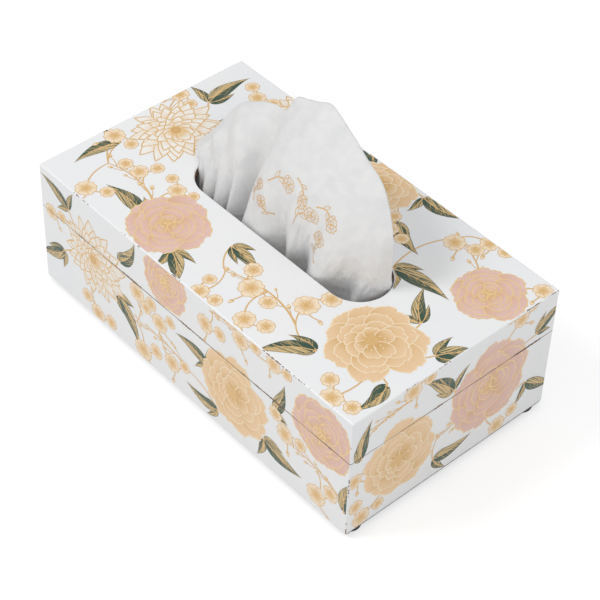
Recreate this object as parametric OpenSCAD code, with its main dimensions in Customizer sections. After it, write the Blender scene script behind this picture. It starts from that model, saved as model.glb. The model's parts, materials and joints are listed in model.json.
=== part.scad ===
// Wooden tissue box with a hinged, slotted lid and a printed pattern of flowers.
// Millimetres. X runs along the long side, Y towards the hinges, Z up.
// The origin is on the table, below the middle of the box's length and of its depth, hinges included.

/* [Box] */
// Length of the box, along X
box_l = 260; // [240:1:300]
// Width of the box, along Y
box_w = 150; // [142:1:190]
// Height of the wooden base, up to the middle of the seam
base_h = 55; // [53:1:80]
// Height of the lid, from the middle of the seam to the top
lid_h = 30; // [24:1:45]
// Thickness of the wall boards
wall_t = 6; // [5.5:0.5:10]
// Thickness of the slotted top panel
top_t = 6; // [4:0.5:8]
// Thickness of the panel that closes the base
floor_t = 4; // [3:0.5:8]
// Gap between lid and base all the way round
seam_gap = 0.3; // [0.2:0.1:0.6]
// Rounding of the outer edges
edge_r = 0.8; // [0.4:0.1:1.5]

/* [Slot] */
// Length of the slot, over its round ends
slot_l = 145; // [135:1:170]
// Width of the slot
slot_w = 38.5; // [38:0.5:60]
// Bevel round the slot, above and below
slot_bevel = 0.6; // [0.2:0.1:1.2]

/* [Underside] */
// Diameter of each rubber foot
foot_d = 13; // [10:1:24]
// Height of each rubber foot
foot_h = 3; // [2:0.5:8]
// Rounding of the foot's lower edge
foot_r = 0.6; // [0.5:0.1:1.5]
// Distance from the box's ends to the feet
foot_end_inset = 0.5; // [0.3:0.1:12]
// Distance from the box's long sides to the feet
foot_side_inset = 2.8; // [0.3:0.1:12]
// Thickness of the felt under the base
felt_t = 1; // [0.5:0.5:3]
// Distance from the box's ends to the felt
felt_end_inset = 0.2; // [0.1:0.1:3]
// Distance from the box's long sides to the felt
felt_side_inset = 0.8; // [0.1:0.1:3]

/* [Hinges] */
// Length of each hinge, along the seam
hinge_l = 26; // [20:1:36]
// Distance from the box's ends to the middle of each hinge
hinge_end = 45; // [35:1:70]
// How far the lid opens, in degrees
open_angle = 96; // [90:1:110]
// Diameter of the barrel
barrel_d = 3.4; // [3:0.1:4]
// Diameter of the pin
pin_d = 1.6; // [1.2:0.1:1.8]
// Thickness of each leaf
leaf_t = 1; // [0.8:0.1:1.2]
// Width of each leaf, let into the rim
leaf_w = 4.8; // [4.2:0.1:5.2]
// Length of the stop lips, from the hinge's axis
lip_l = 4.4; // [3.5:0.1:5.5]
// Number of knuckles in a barrel
knuckles = 5; // [3:2:7]
// Clearance between the pin and its bore, on the radius
pin_clear = 0.05; // [0.02:0.01:0.1]
// Clearance between the barrel and the wood, and between knuckles
barrel_clear = 0.2; // [0.15:0.05:0.4]
// Diameter of the screws' heads
screw_head_d = 2.6; // [2.2:0.1:2.8]
// Diameter of the screws' shanks
screw_d = 1.4; // [1:0.1:1.6]
// Length of the screws
screw_l = 8; // [5:0.5:12]
// Distance between the two screws of a leaf
screw_spacing = 15; // [10:0.5:16]

/* [Tissues] */
// Length of the folded stack
stack_l = 200; // [160:1:220]
// Width of the folded stack
stack_w = 105; // [90:1:120]
// Height of the stack that is left
stack_h = 60; // [20:1:60]
// Folded layers that show at the stack's sides
stack_layers = 15; // [5:1:20]
// Thickness of the drawn sheet, with the air in its creases
sheet_t = 0.8; // [0.6:0.1:1.2]
// How high the drawn sheet stands above the lid
sheet_rise = 73; // [60:1:80]
// How deep below the lid's top the drawn sheet is gathered
gather_drop = 10; // [4:0.5:11]
// Gap between the drawn sheet and the stack
tail_gap = 0.8; // [0.5:0.1:2]

/* [Print] */
// Thickness of the printed colour
ink_t = 0.2; // [0.1:0.05:0.4]

/* [Hidden] */

$fn = 64;

white = "#f1f1f3";
board_brown = "#8a6a4a";
gold = "#dcb98c";
rose = "#e2c0bd";
green = "#2f5244";

// Heights, from the table up
wood_z = foot_h + felt_t;
seam_z = wood_z + base_h;
top_z = seam_z + lid_h;
base_rim_z = seam_z - seam_gap / 2;
lid_rim_z = seam_z + seam_gap / 2;
ceiling_z = top_z - top_t;
floor_z = wood_z + floor_t;

inner_y = box_w / 2 - wall_t;
inner_x = box_l / 2 - wall_t;

// The hinge axis lies in the plane of the seam, just behind the back face
hinge_x = box_l / 2 - hinge_end;
barrel_r = barrel_d / 2;
axis_out = barrel_r + barrel_clear;
axis_y = box_w / 2 + axis_out;
leaf_y = box_w / 2 - leaf_w;
leaf_mid_y = box_w / 2 - leaf_w / 2;
stop_angle = open_angle / 2;
back_reach = axis_out + max(barrel_r, lip_l * cos(stop_angle) - seam_gap / 2 * sin(stop_angle));
knuckle_pitch = hinge_l / knuckles;
knuckle_l = knuckle_pitch - barrel_clear;
lip_root_r = barrel_r * 0.75;
head_cone_h = (screw_head_d - screw_d) / 2;
// Clearance round the screws, and how far their heads lie below the leaf's face
screw_clear = 0.05;
head_sink = 0.02;
// Wood left bare round each hinge
hinge_margin = 2;
eps = 0.01;

// Moves a piece, drawn about the middle of the wooden box, to the middle of the whole depth
module in_frame() {
    translate([0, (ink_t - back_reach) / 2, 0])
        children();
}

// Rounded rectangle, with true arcs at its corners
module rounded_rect(l, w, r) {
    square([l - 2 * r, w], center = true);
    square([l, w - 2 * r], center = true);
    for (sx = [-1, 1], sy = [-1, 1])
        translate([sx * (l / 2 - r), sy * (w / 2 - r)])
            circle(r);
}

// The space that the wood keeps inside, with its upright edges rounded
module outline_prism(z0, z1) {
    translate([0, 0, z0])
        linear_extrude(z1 - z0)
            rounded_rect(box_l, box_w, edge_r);
}

// A board from its low corner to its high corner, kept inside the outline
module board(low, high) {
    intersection() {
        translate(low)
            cube(high - low);
        outline_prism(low[2], high[2]);
    }
}

module long_wall(side, z0, z1) {
    y0 = side < 0 ? -box_w / 2 : inner_y;
    board([-box_l / 2, y0, z0], [box_l / 2, y0 + wall_t, z1]);
}

module short_wall(side, z0, z1) {
    x0 = side < 0 ? -box_l / 2 : inner_x;
    board([x0, -inner_y, z0], [x0 + wall_t, inner_y, z1]);
}

// Seats of both hinges in one rim: a shallow recess for each leaf, and the screws' holes
module hinge_seats(up) {
    recess_z = up > 0 ? seam_z : seam_z - seam_gap / 2 - leaf_t;
    for (side = [-1, 1])
        translate([side * hinge_x - hinge_l / 2 - barrel_clear, leaf_y - barrel_clear, recess_z])
            cube([hinge_l + 2 * barrel_clear, leaf_w + barrel_clear + 1, leaf_t + seam_gap / 2]);
    screw_places()
        rotate([up > 0 ? 0 : 180, 0, 0])
            cylinder(d = screw_d + 2 * screw_clear, h = screw_l + seam_gap);
}

module screw_places() {
    for (side = [-1, 1], end = [-1, 1])
        translate([side * hinge_x + end * screw_spacing / 2, leaf_mid_y, seam_z])
            children();
}

module base_front_wall() {
    color(white) in_frame() long_wall(-1, wood_z, base_rim_z);
}

module base_back_wall() {
    color(white)
        in_frame()
            difference() {
                long_wall(1, wood_z, base_rim_z);
                hinge_seats(-1);
            }
}

module base_side_wall(side) {
    color(white) in_frame() short_wall(side, wood_z, base_rim_z);
}

module base_bottom_panel() {
    color(board_brown)
        in_frame()
            translate([-inner_x, -inner_y, wood_z])
                cube([2 * inner_x, 2 * inner_y, floor_t]);
}

module lid_front_wall() {
    color(white) in_frame() long_wall(-1, lid_rim_z, ceiling_z);
}

module lid_back_wall() {
    color(white)
        in_frame()
            difference() {
                long_wall(1, lid_rim_z, ceiling_z);
                hinge_seats(1);
            }
}

module lid_side_wall(side) {
    color(white) in_frame() short_wall(side, lid_rim_z, ceiling_z);
}

// Cross-section of the top panel, with its two upper corners rounded
module panel_profile(w) {
    translate([-w / 2, 0])
        square([w, top_t - edge_r]);
    translate([-w / 2 + edge_r, 0])
        square([w - 2 * edge_r, top_t]);
    for (s = [-1, 1])
        translate([s * (w / 2 - edge_r), top_t - edge_r])
            circle(edge_r);
}

module stadium(l, w) {
    square([l - w, w], center = true);
    for (s = [-1, 1])
        translate([s * (l - w) / 2, 0])
            circle(d = w, $fn = 96);
}

// Bevel that opens the slot upwards, from its full depth down at z = 0
module slot_flare() {
    half = slot_w / 2;
    straight = slot_l - slot_w;
    rotate([90, 0, 90])
        linear_extrude(straight, center = true)
            polygon([[-half, 0], [half, 0], [half + slot_bevel, slot_bevel], [-half - slot_bevel, slot_bevel]]);
    for (s = [-1, 1])
        translate([s * straight / 2, 0, 0])
            cylinder(r1 = half, r2 = half + slot_bevel, h = slot_bevel, $fn = 96);
}

module lid_top_panel() {
    color(white)
        in_frame()
            translate([0, 0, ceiling_z])
                difference() {
                    intersection() {
                        outline_prism(0, top_t);
                        rotate([90, 0, 0])
                            linear_extrude(box_w + 2, center = true)
                                panel_profile(box_l);
                        rotate([90, 0, 90])
                            linear_extrude(box_l + 2, center = true)
                                panel_profile(box_w);
                    }
                    translate([0, 0, -1])
                        linear_extrude(top_t + 2)
                            stadium(slot_l, slot_w);
                    translate([0, 0, top_t - slot_bevel])
                        slot_flare();
                    translate([0, 0, slot_bevel])
                        mirror([0, 0, 1])
                            slot_flare();
                }
}

// Places of a leaf's knuckles along the hinge: every second one, from the first given
module knuckle_places(first) {
    for (i = [first : 2 : knuckles - 1])
        translate([(i + 0.5) * knuckle_pitch - hinge_l / 2, 0, 0])
            children();
}

// Lip behind the barrel: the lid's and the base's meet when the lid is open
module stop_lip(first) {
    rotate([90, 0, 90])
        linear_extrude(hinge_l, center = true)
            lip_profile(barrel_r + barrel_clear);
    knuckle_places(first)
        rotate([90, 0, 90])
            linear_extrude(knuckle_l, center = true)
                lip_profile(lip_root_r);
}

module lip_profile(from_r) {
    rotate(stop_angle)
        translate([from_r, seam_gap / 2])
            square([lip_l - from_r, leaf_t]);
}

// Leaf of one hinge with its knuckles, about the middle of the barrel; the first knuckle is given
module leaf_shape(first) {
    difference() {
        union() {
            translate([-hinge_l / 2, -axis_out - leaf_w, seam_gap / 2])
                cube([hinge_l, leaf_w, leaf_t]);
            knuckle_places(first) {
                translate([-knuckle_l / 2, -axis_out - eps, seam_gap / 2])
                    cube([knuckle_l, axis_out, leaf_t]);
                rotate([0, 90, 0])
                    cylinder(r = barrel_r, h = knuckle_l, center = true);
            }
            stop_lip(first);
        }
        rotate([0, 90, 0])
            cylinder(r = pin_d / 2 + pin_clear, h = hinge_l + 2, center = true);
        for (end = [-1, 1])
            translate([end * screw_spacing / 2, -axis_out - leaf_w / 2, 0])
                screw_hole();
    }
}

// Leaf of the lid (up = 1) or of the base (up = -1), which is the same shape upside down
module hinge_leaf(side, up) {
    color("goldenrod")
        in_frame()
            translate([side * hinge_x, axis_y, seam_z])
                if (up > 0)
                    leaf_shape(1);
                else
                    mirror([0, 0, 1])
                        leaf_shape(0);
}

// Hole for a screw in a leaf: a cone for the head, then a plain bore
module screw_hole() {
    translate([0, 0, seam_gap / 2 - eps])
        cylinder(d1 = screw_head_d + 2 * screw_clear, d2 = screw_d + 2 * screw_clear, h = head_cone_h);
    cylinder(d = screw_d + 2 * screw_clear, h = leaf_t + seam_gap);
}

// Countersunk screw that points up, with its head at the leaf's face
module screw() {
    tip_h = screw_d;
    translate([0, 0, seam_gap / 2 + head_sink]) {
        cylinder(d1 = screw_head_d, d2 = screw_d, h = head_cone_h);
        cylinder(d = screw_d, h = screw_l - tip_h);
        translate([0, 0, screw_l - tip_h])
            cylinder(d1 = screw_d, d2 = 0.3, h = tip_h);
    }
}

module hinge_pin(side) {
    color("goldenrod")
        in_frame()
            translate([side * hinge_x, axis_y, seam_z])
                rotate([0, 90, 0])
                    cylinder(d = pin_d, h = hinge_l, center = true);
}

module hinge_screws(up) {
    color("goldenrod")
        in_frame()
            screw_places()
                rotate([up > 0 ? 0 : 180, 0, 0])
                    screw();
}

// Rubber foot, turned, with a rounded lower edge
module foot(side_x, side_y) {
    end_out = foot_end_inset + foot_d / 2;
    side_out = foot_side_inset + foot_d / 2;
    color("#1c1c1c")
        in_frame()
            translate([side_x * (box_l / 2 - end_out), side_y * (box_w / 2 - side_out), 0])
                rotate_extrude() {
                    square([foot_d / 2 - foot_r, foot_h]);
                    translate([0, foot_r])
                        square([foot_d / 2, foot_h - foot_r]);
                    translate([foot_d / 2 - foot_r, foot_r])
                        circle(foot_r);
                }
}

module base_felt() {
    color("#2a2a2c")
        in_frame()
            translate([0, 0, foot_h])
                linear_extrude(felt_t)
                    rounded_rect(box_l - 2 * felt_end_inset, box_w - 2 * felt_side_inset, edge_r);
}

// How far each fold of the stack bulges, and the points that draw it
fold_depth = 1.4;
points_per_fold = 6;

// Stack of folded sheets: each layer's fold bulges at the long sides
module tissue_stack() {
    steps = points_per_fold * stack_layers;
    heights = [for (i = [0 : steps]) i / steps];
    bulge = [for (h = heights) stack_w / 2 - fold_depth + fold_depth * abs(sin(180 * stack_layers * h))];
    right = [for (i = [0 : steps]) [bulge[i], heights[i] * stack_h]];
    left = [for (i = [steps : -1 : 0]) [-bulge[i], heights[i] * stack_h]];
    color("#f4f4f4")
        in_frame()
            translate([0, 0, floor_z])
                rotate([90, 0, 90])
                    linear_extrude(stack_l, center = true)
                        polygon(concat(right, left));
}

// The drawn sheet is lofted between lines that are each followed from left to right: its gathers in the
// slot, its shoulder and its free edge. They are drawn for a slot of 145 by 38.5 mm and a rise of 73 mm.
// Gathers, below the slot, each point as [x, y]
gathers = [
    [-71, 2], [-67.5, -10], [-61.5, -9.5], [-57, -17], [-52, -9], [-47, -17.5], [-42, -8], [-37, -16.5], [-31, -3],
    [-26, -4], [-24, -17.5], [-14, -18.2], [-5, -17.5], [1, -12], [6, -8], [9, -12], [13, -14.5], [16, -11],
    [21, -7], [27, -13], [32, -18], [38, -17], [44, -10], [52, -5], [59, -8], [65, -3], [69, 6]
];
// Shoulder, which the sheet leans towards as it rises, each point as [x, y, height above the lid]
shoulder = [
    [-70, -1, 0.5], [-71, -5, 5], [-71, -6, 11], [-69, 2, 17], [-65, -2, 24], [-61, 8, 30], [-51, 1, 36],
    [-44, 9, 38], [-36, 15, 38], [-25, 10, 36], [-19, -5, 36], [-13, -14, 39], [-5, -17, 42], [2, -18, 44],
    [9, -18, 43], [15, -18, 42], [21, -18, 41], [27, -18, 39], [33, -18, 37], [39, -18, 34], [45, -17, 30],
    [51, -15.5, 25], [57, -12, 20], [63, -8, 15], [67, -4, 10], [70, 2, 5], [71, 8, 1.5]
];
// Free edge, each point as [x, y, height above the lid]
free_edge = [
    [-70, -2, 1.5], [-76, -5, 3], [-82, 2, 5.5], [-83, 11, 7], [-80, 15, 13], [-77, 19, 19], [-67, 21, 33],
    [-55, 24, 40], [-42, 24, 46], [-30, 21, 51], [-27, 26, 59], [-17.5, 25, 64], [-7, 24, 69], [2, 24, 73],
    [11, 23, 70.5], [19.5, 22, 66.5], [26, 20.5, 65], [33, 19, 62], [40, 18, 59], [47.5, 17, 56], [54.5, 15, 52],
    [61, 12.5, 44.5], [66, 10, 38], [69.5, 8, 30], [71, 7, 19], [71, 7, 9.5], [71, 8, 3]
];
slot_scale = [slot_l / 145, slot_w / 38.5];
rise_scale = sheet_rise / 73;
// A high stack leaves the tail at least this long
tail_min = 1;
gather_depth = min(gather_drop, top_z - floor_z - stack_h - tail_gap - tail_min);
sheet_steps = 78;
tail_levels = [0, 0.5];
rise_levels = [for (i = [0 : 10]) i / 10];

function spline(p0, p1, p2, p3, u) =
    0.5 * (2 * p1 + (p2 - p0) * u + (2 * p0 - 5 * p1 + 4 * p2 - p3) * u * u
        + (3 * p1 - p0 - 3 * p2 + p3) * u * u * u);

// The smooth line through points, at a place s from 0 to 1
function along(points, s) =
    let (n = len(points) - 1, f = min(max(s, 0) * n, n - 0.000001), i = floor(f))
    spline(points[max(i - 1, 0)], points[i], points[i + 1], points[min(i + 2, n)], f - i);

function in_slot(p) = [p[0] * slot_scale[0], p[1] * slot_scale[1], top_z + p[2]];

// From the stack (v = 0) straight up to the gathers (v = 1)
function tail_point(s, v) =
    let (g = along(gathers, s), low = floor_z + stack_h + tail_gap - top_z)
    in_slot([g[0], g[1], low + (-gather_depth - low) * v]);

// From the gathers (v = 0) past the shoulder to the free edge (v = 1)
function rise_point(s, v) =
    let (
        g = along(gathers, s), leave = pow(1 - v, 3), arrive = pow(v, 2),
        lean = along(shoulder, s) * (1 - leave - arrive) + along(free_edge, s) * arrive
    )
    in_slot([g[0] * leave + lean[0], g[1] * leave + lean[1], lean[2] * rise_scale - gather_depth * leave]);

function sheet_row(s) = concat(
    [for (v = tail_levels) tail_point(s, v)],
    [for (v = rise_levels) rise_point(s, v)]
);

function unit(v) = v / max(norm(v), 0.000001);

// Closed skin of a sheet given as a grid of points, with its thickness shared between both sides
module thick_sheet(grid, t) {
    m = len(grid);
    n = len(grid[0]);
    normals = [for (i = [0 : m - 1]) [for (j = [0 : n - 1])
        unit(cross(
            grid[min(i + 1, m - 1)][j] - grid[max(i - 1, 0)][j],
            grid[i][min(j + 1, n - 1)] - grid[i][max(j - 1, 0)]
        ))]];
    points = [for (side = [1, -1], i = [0 : m - 1], j = [0 : n - 1]) grid[i][j] + side * t / 2 * normals[i][j]];
    function at(side, i, j) = side * m * n + i * n + j;
    faces = concat(
        [for (i = [0 : m - 2], j = [0 : n - 2], k = [0, 1])
            k == 0 ? [at(0, i, j), at(0, i, j + 1), at(0, i + 1, j + 1)]
                   : [at(0, i, j), at(0, i + 1, j + 1), at(0, i + 1, j)]],
        [for (i = [0 : m - 2], j = [0 : n - 2], k = [0, 1])
            k == 0 ? [at(1, i, j), at(1, i + 1, j + 1), at(1, i, j + 1)]
                   : [at(1, i, j), at(1, i + 1, j), at(1, i + 1, j + 1)]],
        [for (i = [0 : m - 2], k = [0, 1])
            k == 0 ? [at(0, i, 0), at(0, i + 1, 0), at(1, i + 1, 0)]
                   : [at(0, i, 0), at(1, i + 1, 0), at(1, i, 0)]],
        [for (i = [0 : m - 2], k = [0, 1])
            k == 0 ? [at(0, i, n - 1), at(1, i + 1, n - 1), at(0, i + 1, n - 1)]
                   : [at(0, i, n - 1), at(1, i, n - 1), at(1, i + 1, n - 1)]],
        [for (j = [0 : n - 2], k = [0, 1])
            k == 0 ? [at(0, 0, j), at(1, 0, j + 1), at(0, 0, j + 1)]
                   : [at(0, 0, j), at(1, 0, j), at(1, 0, j + 1)]],
        [for (j = [0 : n - 2], k = [0, 1])
            k == 0 ? [at(0, m - 1, j), at(0, m - 1, j + 1), at(1, m - 1, j + 1)]
                   : [at(0, m - 1, j), at(1, m - 1, j + 1), at(1, m - 1, j)]]
    );
    polyhedron(points, faces, convexity = 10);
}

module pulled_tissue() {
    color("#f7f7f7")
        in_frame()
            thick_sheet([for (i = [0 : sheet_steps]) sheet_row(i / sheet_steps)], sheet_t);
}

// Flowers and leaves of the print. A place is given as a share of half the face's length and
// height, from its middle, so that the pattern keeps its spread when the box changes size.
// Blooms: [kind, u, v, radius, turn]
top_blooms = [
    ["camellia", 0.74, -0.36, 29, 10], ["dahlia", -0.78, 0.04, 30, 0], ["rose", -0.33, -0.68, 25, 20],
    ["camellia", 0.06, 0.8, 24, 30], ["rose", 0.84, 0.58, 22, 0], ["dahlia", -0.5, 0.92, 23, 8]
];
long_blooms = [
    ["dahlia", -0.62, 0.06, 29, 4], ["camellia", 0.32, -0.18, 29, 24], ["rose", 0.84, 0.42, 24, 50],
    ["rose", -0.13, 0.74, 20, 15]
];
short_blooms = [
    ["rose", 0.38, 0.04, 32, 12], ["camellia", -0.5, -0.16, 29, 40]
];

// Leaves: [u, v, length, width, turn]
top_leaves = [
    [0.5, -0.82, 34, 10, 205], [0.98, 0.06, 32, 10, 70], [0.6, 0.34, 38, 11, 22], [0.68, 0.1, 28, 8, 150],
    [-0.58, -0.7, 32, 10, 165], [-0.1, -0.9, 30, 9, -18], [-0.94, -0.56, 32, 9, 245], [-0.66, 0.46, 30, 9, 60],
    [-0.9, 0.66, 34, 10, 110], [0.34, 0.9, 30, 9, -15], [-0.16, 0.96, 26, 8, 160], [0.04, -0.46, 27, 8, 8],
    [0.36, 0.5, 30, 9, -30], [0.98, -0.72, 26, 8, -60]
];
long_leaves = [
    [-0.36, -0.44, 34, 10, -35], [-0.92, -0.5, 30, 9, 230], [0.05, 0.06, 30, 9, 150], [0.6, -0.72, 32, 10, -28],
    [0.6, 0.36, 28, 9, 60], [-0.36, 0.6, 28, 9, 30], [0.96, -0.3, 30, 9, 100], [0.1, -0.86, 28, 8, 195],
    [-0.88, 0.8, 28, 8, 140]
];
short_leaves = [
    [-0.14, 0.7, 32, 10, 125], [0.9, -0.62, 30, 9, -45], [0.02, -0.8, 30, 9, -20], [-0.93, 0.56, 28, 9, 100],
    [0.92, 0.66, 26, 8, 50]
];

// Small blossoms: [u, v, radius, turn]
top_blossoms = [
    [-0.94, -0.36, 7, 0], [-0.74, -0.9, 7, 20], [-0.68, -0.48, 6, 50], [0.18, -0.66, 8, 10], [0.3, -0.9, 7, 30],
    [0.4, -0.48, 8, 60], [0.06, -0.96, 6, 0], [0.84, -0.94, 7, 15], [0.52, 0.78, 7, 25], [0.28, 0.52, 6, 0],
    [-0.34, 0.58, 7, 5], [-0.74, 0.78, 6, 35], [0.62, 0.96, 6, 10], [-0.98, 0.34, 6, 0], [-0.48, -0.4, 6, 22],
    [0.96, 0.9, 6, 0]
];
long_blossoms = [
    [-0.33, 0.14, 7, 0], [-0.3, -0.84, 8, 30], [-0.1, -0.62, 7, 12], [-0.18, -0.08, 7, 40], [0.12, 0.62, 7, 5],
    [0.34, 0.84, 7, 20], [0.62, -0.14, 7, 10], [0.82, -0.74, 8, 50], [-0.93, 0.3, 6, 25], [-0.62, -0.9, 7, 0],
    [0.54, 0.9, 6, 0]
];
short_blossoms = [
    [-0.44, 0.88, 7, 0], [0.62, 0.9, 6, 30], [0.5, -0.88, 7, 10], [-0.95, -0.08, 6, 20], [-0.86, -0.86, 7, 0]
];

// Twigs, bent as arcs: [u, v, radius of the arc, first angle, last angle], about the arc's centre
top_twigs = [
    [-0.66, -1.24, 52, 62, 112], [0.26, -1.42, 62, 66, 118], [0.46, 0.06, 58, 30, 84], [-0.5, 0.1, 46, 66, 112]
];
long_twigs = [
    [-0.2, -1.9, 66, 66, 106], [0.24, -0.36, 56, 70, 100], [0.72, -1.5, 54, 58, 96]
];
short_twigs = [
    [0.06, -1.66, 60, 68, 104], [-0.52, -0.8, 66, 84, 108]
];

twig_w = 1.2;
// Bare ring kept round a bloom or a blossom, so that what is printed beside it never joins it
motif_gap = 0.6;

module camellia(r) {
    circle(r * 0.74);
    for (i = [0 : 7])
        rotate(45 * i)
            translate([r * 0.68, 0])
                circle(r * 0.32);
}

module lens(l, w) {
    arc_r = (l * l + w * w) / (4 * w);
    intersection_for (s = [-1, 1])
        translate([0, s * (arc_r - w / 2)])
            circle(arc_r, $fn = 128);
}

module dahlia(r) {
    circle(r * 0.62);
    for (i = [0 : 13])
        rotate(360 / 14 * i)
            translate([r * 0.62, 0])
                lens(r * 0.76, r * 0.34);
}

module rose(r) {
    circle(r * 0.6);
    for (i = [0 : 5])
        rotate(60 * i)
            translate([r * 0.55, 0])
                circle(r * 0.45);
}

module blossom(r) {
    circle(r * 0.5);
    for (i = [0 : 4])
        rotate(72 * i)
            translate([r * 0.58, 0])
                circle(r * 0.42);
}

module bloom(b) {
    rotate(b[4]) {
        if (b[0] == "camellia") camellia(b[3]);
        if (b[0] == "dahlia") dahlia(b[3]);
        if (b[0] == "rose") rose(b[3]);
    }
}

module twig(t) {
    r = t[2];
    far = 2 * r;
    intersection() {
        difference() {
            circle(r + twig_w / 2, $fn = 128);
            circle(r - twig_w / 2, $fn = 128);
        }
        polygon([
            [0, 0], far * [cos(t[3]), sin(t[3])],
            far * [cos((t[3] + t[4]) / 2), sin((t[3] + t[4]) / 2)], far * [cos(t[4]), sin(t[4])]
        ]);
    }
}

// Discs that keep the room round motifs, given as [u, v, radius]
module rooms(places, a, b) {
    for (p = places)
        translate([p[0] * a, p[1] * b])
            circle(p[2] + motif_gap);
}

// Motifs of one colour on a face of half-size [a, b]; blooms cut blossoms, and both cut twigs
module gold_motifs(blooms, blossoms, twigs, a, b) {
    bloom_rooms = [for (m = blooms) [m[1], m[2], m[3]]];
    for (m = blooms)
        if (m[0] != "rose")
            translate([m[1] * a, m[2] * b]) bloom(m);
    difference() {
        for (m = blossoms)
            translate([m[0] * a, m[1] * b])
                rotate(m[3]) blossom(m[2]);
        rooms(bloom_rooms, a, b);
    }
    difference() {
        for (m = twigs)
            translate([m[0] * a, m[1] * b]) twig(m);
        rooms(bloom_rooms, a, b);
        rooms(blossoms, a, b);
    }
}

module rose_motifs(blooms, a, b) {
    for (m = blooms)
        if (m[0] == "rose")
            translate([m[1] * a, m[2] * b]) bloom(m);
}

module green_motifs(blooms, blossoms, twigs, leaves, a, b) {
    difference() {
        for (m = leaves)
            translate([m[0] * a, m[1] * b])
                rotate(m[4])
                    lens(m[2], m[3]);
        gold_motifs(blooms, blossoms, twigs, a, b);
        rose_motifs(blooms, a, b);
    }
}

module motifs(ink, blooms, blossoms, twigs, leaves, a, b) {
    if (ink == "gold") gold_motifs(blooms, blossoms, twigs, a, b);
    if (ink == "rose") rose_motifs(blooms, a, b);
    if (ink == "green") green_motifs(blooms, blossoms, twigs, leaves, a, b);
}

wood_h = base_h + lid_h;
mid_z = wood_z + wood_h / 2;

// Print on one side face, between two heights
module side_print(ink, blooms, blossoms, twigs, leaves, a, z0, z1) {
    linear_extrude(ink_t)
        intersection() {
            motifs(ink, blooms, blossoms, twigs, leaves, a, wood_h / 2);
            translate([-a + edge_r, z0 - mid_z])
                square([2 * (a - edge_r), z1 - z0]);
        }
}

// Print round the four sides, between two heights; the back leaves room for the hinges
module band_print(ink, z0, z1) {
    for (turn = [0, 180])
        difference() {
            rotate(turn)
                translate([0, -box_w / 2, mid_z])
                    rotate([90, 0, 0])
                        side_print(ink, long_blooms, long_blossoms, long_twigs, long_leaves, box_l / 2, z0, z1);
            if (turn == 180)
                for (side = [-1, 1])
                    translate([side * hinge_x, box_w / 2, seam_z])
                        cube([hinge_l + 2 * hinge_margin, 2, 2 * (lip_l + hinge_margin)], center = true);
        }
    for (turn = [90, 270])
        rotate(turn)
            translate([0, -box_l / 2, mid_z])
                rotate([90, 0, 0])
                    side_print(ink, short_blooms, short_blossoms, short_twigs, short_leaves, box_w / 2, z0, z1);
}

module base_print(ink, tint) {
    color(tint)
        in_frame()
            band_print(ink, wood_z, base_rim_z);
}

module lid_print(ink, tint) {
    color(tint)
        in_frame() {
            band_print(ink, lid_rim_z, top_z - edge_r);
            translate([0, 0, top_z])
                linear_extrude(ink_t)
                    difference() {
                        intersection() {
                            motifs(ink, top_blooms, top_blossoms, top_twigs, top_leaves, box_l / 2, box_w / 2);
                            square([box_l - 2 * edge_r, box_w - 2 * edge_r], center = true);
                        }
                        stadium(slot_l + 2 * slot_bevel, slot_w + 2 * slot_bevel);
                    }
        }
}

base_front_wall();
base_back_wall();
base_side_wall(-1);  // base_left_wall
base_side_wall(1);  // base_right_wall
base_bottom_panel();
lid_front_wall();
lid_back_wall();
lid_side_wall(-1);  // lid_left_wall
lid_side_wall(1);  // lid_right_wall
lid_top_panel();
hinge_leaf(-1, -1);  // hinge_left_base_leaf
hinge_leaf(-1, 1);  // hinge_left_lid_leaf
hinge_pin(-1);  // hinge_left_pin
hinge_leaf(1, -1);  // hinge_right_base_leaf
hinge_leaf(1, 1);  // hinge_right_lid_leaf
hinge_pin(1);  // hinge_right_pin
hinge_screws(-1);  // base_hinge_screws
hinge_screws(1);  // lid_hinge_screws
foot(-1, -1);  // foot_front_left
foot(1, -1);  // foot_front_right
foot(-1, 1);  // foot_back_left
foot(1, 1);  // foot_back_right
base_felt();
tissue_stack();
pulled_tissue();
base_print("gold", gold);  // base_print_gold
base_print("rose", rose);  // base_print_rose
base_print("green", green);  // base_print_green
lid_print("gold", gold);  // lid_print_gold
lid_print("rose", rose);  // lid_print_rose
lid_print("green", green);  // lid_print_green
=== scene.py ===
"""Looks of a white wooden tissue box with a printed pattern and a drawn sheet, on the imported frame."""
import json
import math
import random

import bmesh
import bpy
import numpy as np
from mathutils import Matrix, Vector
from mathutils.geometry import delaunay_2d_cdt


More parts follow.
